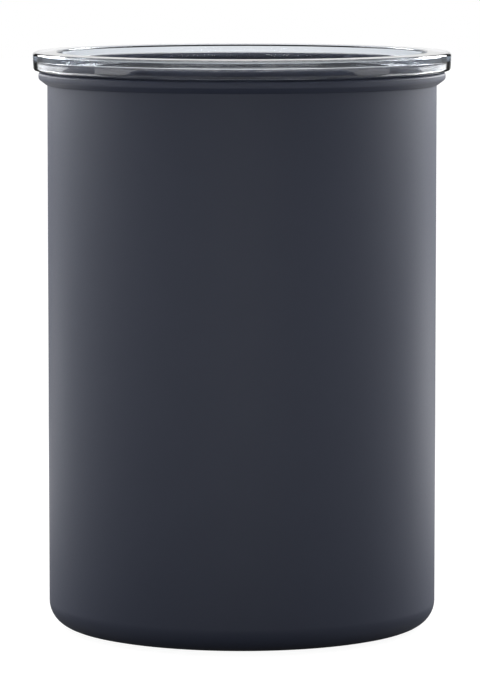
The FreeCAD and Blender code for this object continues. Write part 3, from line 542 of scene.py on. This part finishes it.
acetal, tree, shader, place = new_material("moulded_acetal")
flow = add_node(tree, "ShaderNodeTexNoise", inputs={"Vector": place, "Scale": 1 / ACETAL_FLOW, "Detail": 3.0})
wax = add_node(tree, "ShaderNodeTexNoise", inputs={"Vector": place, "Scale": 1 / ACETAL_SKIN, "Detail": 1.0})
tint = add_node(tree, "ShaderNodeMix", {"data_type": "RGBA"},
                {0: flow.outputs[0], 6: linear("#cfcec8"), 7: linear("#dcdbd6")})
dull = add_node(tree, "ShaderNodeMapRange", inputs={0: wax.outputs[0], 3: 0.28, 4: 0.42})
tree.links.new(tint.outputs[2], shader.inputs["Base Color"])
tree.links.new(dull.outputs[0], shader.inputs["Roughness"])
shader.inputs["IOR"].default_value = 1.48
dress(acetal, "valve_stem", "valve_yoke", "bail_cam_left", "bail_cam_right",
      "pivot_bush_left", "pivot_bush_right")

# %% [markdown]
# ### Bright stainless fasteners
#
# Screws, nut and pins are tumbled after they are cut, which leaves a bright metal with small scratches
# that run all ways.

# %% Bright stainless fasteners
TUMBLE_MARK = 0.3 * MM

fastener_steel, tree, shader, place = new_material("tumbled_stainless_steel")
marks = add_node(tree, "ShaderNodeTexNoise", inputs={
    "Vector": place, "Scale": 1 / TUMBLE_MARK, "Detail": 3.0})
tint = add_node(tree, "ShaderNodeMix", {"data_type": "RGBA"},
                {0: marks.outputs[0], 6: linear("#b9babb"), 7: linear("#d0d0d0")})
dull = add_node(tree, "ShaderNodeMapRange", inputs={0: marks.outputs[0], 3: 0.18, 4: 0.36})
tree.links.new(tint.outputs[2], shader.inputs["Base Color"])
tree.links.new(dull.outputs[0], shader.inputs["Roughness"])
shader.inputs["Metallic"].default_value = 1.0
dress(fastener_steel, "housing_screws", "stem_nut", "cam_pins")

# %% [markdown]
# ## The silicone pieces
#
# The wiper seal has two thin lips that lean upwards and brush the bore, and the valve disc is a thick
# button with a bevelled top. Silicone comes out of the mould with soft edges, so both are turned afresh
# with round ones. It is a dull grey rubber that picks up a little dust, which makes its gloss patchy.

# %% Silicone rubber
DUST_PATCH = 2.5 * MM
RUBBER_SKIN = 0.35 * MM

silicone, tree, shader, place = new_material("moulded_silicone_rubber")
dust = add_node(tree, "ShaderNodeTexNoise", inputs={"Vector": place, "Scale": 1 / DUST_PATCH, "Detail": 4.0})
pores = add_node(tree, "ShaderNodeTexNoise", inputs={
    "Vector": place, "Scale": 1 / RUBBER_SKIN, "Detail": 1.0})
tint = add_node(tree, "ShaderNodeMix", {"data_type": "RGBA"},
                {0: dust.outputs[0], 6: linear("#6b6d6f"), 7: linear("#777a7c")})
dull = add_node(tree, "ShaderNodeMapRange", inputs={0: dust.outputs[0], 3: 0.5, 4: 0.72})
grain = add_node(tree, "ShaderNodeBump", inputs={
    "Strength": 0.3, "Distance": 0.03 * MM, "Height": pores.outputs[0]})
tree.links.new(tint.outputs[2], shader.inputs["Base Color"])
tree.links.new(dull.outputs[0], shader.inputs["Roughness"])
tree.links.new(grain.outputs[0], shader.inputs["Normal"])
shader.inputs["IOR"].default_value = 1.41
print("made", silicone.name)

# %% Wiper seal
SEAL_INNER, SEAL_OUTER = 53.0, 56.0
SEAL_BOTTOM, SEAL_TOP = 121.386, 132.886
LIP_ROOTS = (122.486, 128.486)
LIP_TIP_R = 58.65
LIP_TIP_LOW, LIP_TIP_HIGH, LIP_BACK = 1.4, 2.2, 1.8
TIP_ROUND, ROOT_ROUND, SEAL_ROUND = 0.35, 0.5, 0.2

seal_outline = [(SEAL_INNER, SEAL_BOTTOM, SEAL_ROUND), (SEAL_OUTER, SEAL_BOTTOM, SEAL_ROUND)]
for root in LIP_ROOTS:
    seal_outline += [
        (SEAL_OUTER, root, ROOT_ROUND),
        (LIP_TIP_R, root + LIP_TIP_LOW, TIP_ROUND),
        (LIP_TIP_R, root + LIP_TIP_HIGH, TIP_ROUND),
        (SEAL_OUTER, root + LIP_BACK, ROOT_ROUND),
    ]
seal_outline += [(SEAL_OUTER, SEAL_TOP, SEAL_ROUND), (SEAL_INNER, SEAL_TOP, SEAL_ROUND)]
seal = lathe("silicone_wiper", seal_outline, [silicone], arc_steps=8)
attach(seal, "inner_lid")
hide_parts("wiper_seal")

# %% Valve disc
DISC_R, DISC_BEVEL = 9.5, 1.5
DISC_FOOT_ROUND, DISC_ROUND = 0.4, 0.6
DISC_BOTTOM, DISC_SIDE_TOP, DISC_TOP = 122.886, 124.886, 126.386
STEM_NECK_R, STEM_HEAD_R = 2.0, 4.0
HEAD_BOTTOM, HEAD_TOP = 123.886, 125.386

disc = lathe("silicone_valve_disc", [
    (0, DISC_BOTTOM, 0),
    (DISC_R, DISC_BOTTOM, DISC_FOOT_ROUND),
    (DISC_R, DISC_SIDE_TOP, DISC_ROUND),
    (DISC_R - DISC_BEVEL, DISC_TOP, DISC_ROUND),
    (STEM_NECK_R, DISC_TOP, 0),
    (STEM_NECK_R, HEAD_TOP, 0),
    (STEM_HEAD_R, HEAD_TOP, 0),
    (STEM_HEAD_R, HEAD_BOTTOM, 0),
    (0, HEAD_BOTTOM, 0),
], [silicone], turns=96)
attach(disc, "valve")
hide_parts("valve_disc")

# %% [markdown]
# ## The bail and the spring
#
# Both are steel wire that was drawn through a die, which leaves fine lines along its length. A pattern in
# space can't follow a bend, so the wire tool also stores where each point lies on the straightened wire,
# and the lines are drawn there. The bail is a path of straight runs and arcs, and the spring is a helix.
# A curve object with a round bevel would give the same shapes, but not that straightened place.

# %% Drawn wire
DRAW_LINE = 0.12 * MM
DRAW_RUN = 20 * MM

wire_steel, tree, shader, place = new_material("drawn_steel_wire")
straight = add_node(tree, "ShaderNodeAttribute", {"attribute_name": "straightened"})
stretch = add_node(tree, "ShaderNodeMapping", {"vector_type": "POINT"},
                   {"Vector": straight.outputs["Vector"],
                    "Scale": (1 / DRAW_RUN, 1 / DRAW_LINE, 1 / DRAW_LINE)})
lines = add_node(tree, "ShaderNodeTexNoise", inputs={
    "Vector": stretch.outputs[0], "Scale": 1.0, "Detail": 2.0})
tint = add_node(tree, "ShaderNodeMix", {"data_type": "RGBA"},
                {0: lines.outputs[0], 6: linear("#b6b7b8"), 7: linear("#d2d2d2")})
dull = add_node(tree, "ShaderNodeMapRange", inputs={0: lines.outputs[0], 3: 0.16, 4: 0.32})
tree.links.new(tint.outputs[2], shader.inputs["Base Color"])
tree.links.new(dull.outputs[0], shader.inputs["Roughness"])
shader.inputs["Metallic"].default_value = 1.0
print("made", wire_steel.name)

# %% Bail handle
BAIL_WIRE_R = 1.8
BAIL_AXIS_Z = 132.4
BAIL_HALF, BAIL_REACH = 26.0, 32.0
BAIL_END = 7.2
FOOT_BEND, TOP_BEND = 6.0, 12.0

end_x = BAIL_END + WIRE_EDGE * BAIL_WIRE_R
bail_corners = [
    (-end_x, 0, 0),
    (-BAIL_HALF, 0, FOOT_BEND),
    (-BAIL_HALF, BAIL_REACH, TOP_BEND),
    (BAIL_HALF, BAIL_REACH, TOP_BEND),
    (BAIL_HALF, 0, FOOT_BEND),
    (end_x, 0, 0),
]
flat, across, owner = round_off(bail_corners, arc_steps=16, run_step=3.0)
on_wire = owner <= len(bail_corners) - 1
bail_path = np.column_stack([flat[on_wire], np.full(on_wire.sum(), BAIL_AXIS_Z * MM)])
bail = wire("bail_wire", bail_path, np.column_stack([across[on_wire], np.zeros(on_wire.sum())]),
            BAIL_WIRE_R * MM, [wire_steel])
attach(bail, "bail")
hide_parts("bail_handle")

# %% Valve spring
SPRING_R, SPRING_WIRE_R = 4.2, 0.35
SPRING_LOW, SPRING_HIGH = 138.06, 142.96
SPRING_TURNS, STEPS_A_TURN = 3, 64

angle = np.linspace(0.0, 2 * math.pi * SPRING_TURNS, STEPS_A_TURN * SPRING_TURNS + 1)
outward = np.stack([np.cos(angle), np.sin(angle), np.zeros_like(angle)], axis=1)
spring_path = outward * SPRING_R * MM
spring_path[:, 2] = np.linspace(SPRING_LOW, SPRING_HIGH, len(angle)) * MM
spring = wire("valve_spring_wire", spring_path, outward, SPRING_WIRE_R * MM, [wire_steel], around=16)
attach(spring, "inner_lid")
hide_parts("valve_spring")
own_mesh(spring)

# %% [markdown]
# ## The studio
#
# The can stands on a white sweep in a white room. Here the world is that room. The floor shows as white to
# the camera by a little light of its own, while its paper stays grey enough not to light the can from below
# and to keep its shadow. What the lid mirrors or bends is white too where the paper is well away from the
# can. Close to the can that light fades out. This is a painted shade on the floor that only mirrored and bent
# rays see, and it draws the thin dark line round the back of the lid. A plain white floor is simpler, but it
# would wash that line out.

# %% White room
world = bpy.data.worlds.new("white_room")
bpy.context.scene.world = world
world.use_nodes = True
world.node_tree.nodes["Background"].inputs["Color"].default_value = linear("#ffffff")
world.node_tree.nodes["Background"].inputs["Strength"].default_value = 1.0
print("made", world.name)

# %% White paper
FLOOR_SHOWN = 0.94
# Mirrored and bent rays see a painted shade on the floor near the can, which fades out between these two
# distances.
PAINTED_SHADE_FULL_TO, PAINTED_SHADE_GONE_AT = 0.17, 0.3
PAINTED_SHADE_LIFT = 0.05
PAPER_FIBRE = 3 * MM

floor_paper, tree, shader, place = new_material("white_paper_sweep")
fibre = add_node(tree, "ShaderNodeTexNoise", inputs={
    "Vector": place, "Scale": 1 / PAPER_FIBRE, "Detail": 2.0})
tint = add_node(tree, "ShaderNodeMix", {"data_type": "RGBA"},
                {0: fibre.outputs[0], 6: linear("#6a6a6a"), 7: linear("#6e6e6e")})
tree.links.new(tint.outputs[2], shader.inputs["Base Color"])
shader.inputs["Roughness"].default_value = 0.9
shader.inputs["Specular IOR Level"].default_value = 0.0
ray = add_node(tree, "ShaderNodeLightPath")
bent = add_node(tree, "ShaderNodeMath", {"operation": "MAXIMUM"},
                {0: ray.outputs["Is Glossy Ray"], 1: ray.outputs["Is Transmission Ray"]})
away = add_node(tree, "ShaderNodeVectorMath", {"operation": "LENGTH"}, {0: place})
# Painted shade: for mirrored and bent rays, the floor's own light drops close to the can.
painted_shade_fade = add_node(tree, "ShaderNodeMapRange", inputs={
    0: away.outputs["Value"], 1: PAINTED_SHADE_FULL_TO, 2: PAINTED_SHADE_GONE_AT, 3: PAINTED_SHADE_LIFT, 4: 1.0})
bent = add_node(tree, "ShaderNodeMath", {"operation": "MULTIPLY"}, {0: bent.outputs[0], 1: painted_shade_fade.outputs[0]})
seen = add_node(tree, "ShaderNodeMath", {"operation": "MAXIMUM"},
                {0: ray.outputs["Is Camera Ray"], 1: bent.outputs[0]})
lift = add_node(tree, "ShaderNodeMath", {"operation": "MULTIPLY"}, {0: seen.outputs[0], 1: FLOOR_SHOWN})
tree.links.new(lift.outputs[0], shader.inputs["Emission Strength"])
shader.inputs["Emission Color"].default_value = linear("#ffffff")
print("made", floor_paper.name)

# %% Floor
FLOOR_HALF, FLOOR_LINES = 4.0, 9
FLOOR_DROP = 0.2 * MM

side = np.linspace(-FLOOR_HALF, FLOOR_HALF, FLOOR_LINES)
grid = np.stack(np.meshgrid(side, side), axis=2).reshape(-1, 2)
spot = np.arange(len(grid)).reshape(FLOOR_LINES, FLOOR_LINES)
squares = np.stack([spot[:-1, :-1], spot[:-1, 1:], spot[1:, 1:], spot[1:, :-1]], axis=2).reshape(-1, 4)
floor_points = np.column_stack([grid, np.full(len(grid), -FLOOR_DROP)])
floor = make_piece("floor", floor_points, squares.tolist(), np.tile((0.0, 0.0, 1.0), (len(grid), 1)),
                   [floor_paper])

# %% [markdown]
# Clear plastic only shows its edges where they bend the view towards something dark. So cards stand round
# the can, as in a real studio. Straight behind it is a low black bar with the white room open above, and a
# black flag on each side. To the left and the right, tall bright boxes with a softer lower edge light the
# flanks of the can, and low boxes light its foot. Between those, at the height that the lid mirrors, the
# cards are dim, so that the lid stays grey. In front, the light is a band just below the lid's height, and
# all above it is dark.
#
# Area lamps would light the can as well, but mesh cards can be bent round it, so that each one shows at the
# same height in the lid all the way round. Angles are in degrees from straight behind, to the right, and
# heights in metres. The cards are hidden from the camera, as real ones are kept out of the frame.

# %% Cards round the can
CARD_R = 0.5
CARD_STEP = 4
# Each card has a name, its first and last angle, its lower and upper edge, and its brightness.
CARDS = [
    ("back_bar", (-20, 20), (0.0, 0.12), 0.03),
    ("left_flag", (-33, -20), (0.0, 0.4), 0.03),
    ("right_flag", (20, 33), (0.0, 0.4), 0.03),
    ("left_low_box", (-62, -33), (0.0, 0.07), 1.7),
    ("right_low_box", (33, 62), (0.0, 0.07), 2.9),
    ("left_low_side", (-97, -62), (0.0, 0.07), 0.7),
    ("right_low_side", (62, 97), (0.0, 0.07), 0.7),
    ("left_strip", (-62, -33), (0.07, 0.2), 0.33),
    ("right_strip", (33, 62), (0.07, 0.2), 0.33),
    ("left_side_strip", (-97, -62), (0.07, 0.2), 0.28),
    ("right_side_strip", (62, 97), (0.07, 0.2), 0.28),
    ("left_edge", (-62, -33), (0.2, 0.23), 2.6),
    ("right_edge", (33, 62), (0.2, 0.23), 2.8),
    ("left_box", (-62, -33), (0.23, 0.48), 12.4),
    ("right_box", (33, 62), (0.23, 0.48), 17.8),
    ("left_side_box", (-97, -62), (0.2, 0.48), 4.0),
    ("right_side_box", (62, 97), (0.2, 0.48), 4.0),
    ("front_low", (97, 263), (0.0, 0.1), 0.05),
    ("front_left", (-165, -97), (0.1, 0.142), 2.4),
    ("front_middle", (165, 195), (0.1, 0.142), 4.4),
    ("front_right", (97, 165), (0.1, 0.142), 1.7),
    ("front_strip", (97, 263), (0.142, 0.165), 0.55),
    ("front_gap", (97, 263), (0.165, 0.27), 0.08),
    ("front_high", (97, 263), (0.27, 0.42), 0.15),
    ("front_top", (97, 263), (0.42, 0.6), 0.1),
    ("left_top", (-97, -20), (0.48, 0.6), 0.1),
    ("right_top", (20, 97), (0.48, 0.6), 0.1),
]


def glow(name, level):
    """A card's own light, as bright all over as its level."""
    material = bpy.data.materials.new(name)
    material.use_nodes = True
    tree = material.node_tree
    tree.nodes.remove(tree.nodes["Principled BSDF"])
    light = add_node(tree, "ShaderNodeEmission", inputs={"Strength": level})
    tree.links.new(light.outputs[0], tree.nodes["Material Output"].inputs["Surface"])
    return material


def hang(card):
    """Hide a card from the camera."""
    card.visible_camera = False


def arc_card(name, sector, span, level):
    """A card bent round the can: the point at angle t and height z is (R sin t, R cos t, z)."""
    count = max(2, round((sector[1] - sector[0]) / CARD_STEP))
    angle = np.radians(np.linspace(*sector, count + 1))
    outward = np.stack([np.sin(angle), np.cos(angle), np.zeros(count + 1)], axis=1)
    points = np.concatenate([outward * CARD_R + (0.0, 0.0, height) for height in span])
    here = np.arange(count)
    squares = np.stack([here, here + 1, here + count + 2, here + count + 1], axis=1)
    hang(make_piece(name, points, squares.tolist(), np.tile(-outward, (2, 1)), [glow(name, level)]))


for card in CARDS:
    arc_card(*card)

# %% [markdown]
# A dim ceiling closes the ring of cards, and one small bright box under its middle lights the top of the
# lid. Seen from above, most of the pan mirrors the dim part, so that the inner lid shows through it. The
# lens board is the dark patch that a camera leaves in a polished lid.

# %% Ceiling, top box and lens board
CEILING_HIGH, CEILING_LEVEL = 0.6, 0.15
TOP_BOX_R, TOP_BOX_HIGH = 0.2, 0.59
TOP_BOX_LEVEL = 3.0
DISC_SIDES = 90
LENS_AWAY, LENS_LOW, LENS_TOP = 0.45, 0.14, 0.2
LENS_HALF = math.radians(10.4)
LENS_LEVEL = 0.02


def level_card(name, radius, height, level):
    """A round card that faces down: the point at angle t is (R sin t, R cos t, height)."""
    angle = np.arange(DISC_SIDES) * (2 * math.pi / DISC_SIDES)
    points = np.stack([np.sin(angle) * radius, np.cos(angle) * radius, np.full(DISC_SIDES, height)], axis=1)
    hang(make_piece(name, points, [list(range(DISC_SIDES))], np.tile((0.0, 0.0, -1.0), (DISC_SIDES, 1)),
                    [glow(name, level)]))


level_card("ceiling_card", CARD_R, CEILING_HIGH, CEILING_LEVEL)
level_card("top_box", TOP_BOX_R, TOP_BOX_HIGH, TOP_BOX_LEVEL)

lens_x = LENS_AWAY * math.tan(LENS_HALF)
lens_points = [(-lens_x, -LENS_AWAY, LENS_LOW), (lens_x, -LENS_AWAY, LENS_LOW),
               (lens_x, -LENS_AWAY, LENS_TOP), (-lens_x, -LENS_AWAY, LENS_TOP)]
hang(make_piece("lens_board", lens_points, [[0, 1, 2, 3]], np.tile((0.0, 1.0, 0.0), (4, 1)),
                [glow("lens_board", LENS_LEVEL)]))
